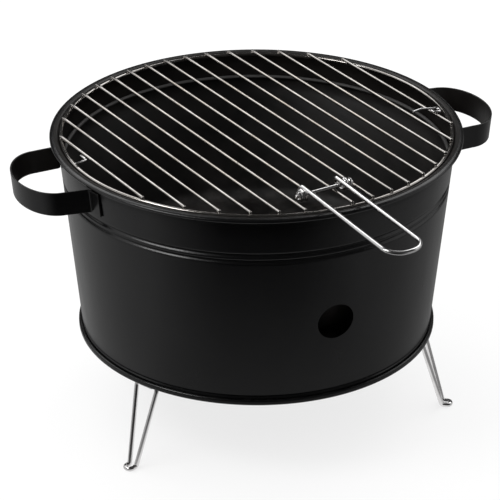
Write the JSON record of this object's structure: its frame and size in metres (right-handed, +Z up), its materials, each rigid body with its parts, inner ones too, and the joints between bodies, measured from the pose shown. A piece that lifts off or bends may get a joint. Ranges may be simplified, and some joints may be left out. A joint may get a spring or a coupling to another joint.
{
  "type": "portable tabletop grill",
  "caption": "Round tabletop charcoal grill: tapered black bucket with strap handles, folding wire legs, lift-out charcoal bowl and a wire grate with a hinged handle.",
  "frame": {"origin": "centre of the flat underside of the base pan", "axes": "+Z up along the bucket's axis, +X out through the right-hand strap handle, -Y towards the side where the grate's lifting handle hangs out"},
  "size_m": [0.4166, 0.4236, 0.2595],
  "materials": {
    "satin_black": "satin black heat-proof paint on sheet steel",
    "bowl_enamel": "matte black enamel, sooty from use",
    "chrome_wire": "bright chrome-plated steel wire",
    "zinc_plate": "zinc-plated folded sheet"
  },
  "bodies": {
    "bucket": {"bucket_shell": "satin_black", "base_pan": "satin_black", "strap_handle_left": "satin_black", "strap_handle_right": "satin_black", "leg_bracket_1": "zinc_plate", "leg_bracket_2": "zinc_plate", "leg_bracket_3": "zinc_plate"},
    "leg_1": {"leg_1": "chrome_wire"},
    "leg_2": {"leg_2": "chrome_wire"},
    "leg_3": {"leg_3": "chrome_wire"},
    "charcoal_bowl": {"charcoal_bowl": "bowl_enamel"},
    "grate": {"grate_ring": "chrome_wire", "grate_bar_01": "chrome_wire", "grate_bar_02": "chrome_wire", "grate_bar_03": "chrome_wire", "grate_bar_04": "chrome_wire", "grate_bar_05": "chrome_wire", "grate_bar_06": "chrome_wire", "grate_bar_07": "chrome_wire", "grate_bar_08": "chrome_wire", "grate_bar_09": "chrome_wire", "grate_bar_10": "chrome_wire", "grate_bar_11": "chrome_wire", "grate_bar_12": "chrome_wire", "grate_bar_13": "chrome_wire", "grate_bar_14": "chrome_wire", "grate_bar_15": "chrome_wire", "grate_bar_16": "chrome_wire", "grate_handle_rod": "chrome_wire", "clip_left": "chrome_wire", "clip_right": "chrome_wire"},
    "grate_handle": {"grate_handle": "chrome_wire"}
  },
  "joints": [
    {"name": "leg_1_fold", "type": "hinge", "parent": "bucket", "child": "leg_1", "pos_m": [-0.12228, -0.0706, -0.0066], "axis": [0.5, -0.866, 0], "range_deg": [0, 105]},
    {"name": "leg_2_fold", "type": "hinge", "parent": "bucket", "child": "leg_2", "pos_m": [0.12228, -0.0706, -0.0066], "axis": [0.5, 0.866, 0], "range_deg": [0, 105]},
    {"name": "leg_3_fold", "type": "hinge", "parent": "bucket", "child": "leg_3", "pos_m": [0, 0.1412, -0.0066], "axis": [-1, 0, 0], "range_deg": [0, 105]},
    {"name": "bowl_lift", "type": "slide", "parent": "bucket", "child": "charcoal_bowl", "axis": [0, 0, 1], "range_m": [0, 0.16]},
    {"name": "grate_lift", "type": "slide", "parent": "charcoal_bowl", "child": "grate", "axis": [0, 0, 1], "range_m": [0, 0.08]},
    {"name": "handle_swing", "type": "hinge", "parent": "grate", "child": "grate_handle", "pos_m": [0.00273, -0.13669, 0.17685], "axis": [-0.9816, -0.1908, 0], "range_deg": [-5, 172]}
  ]
}
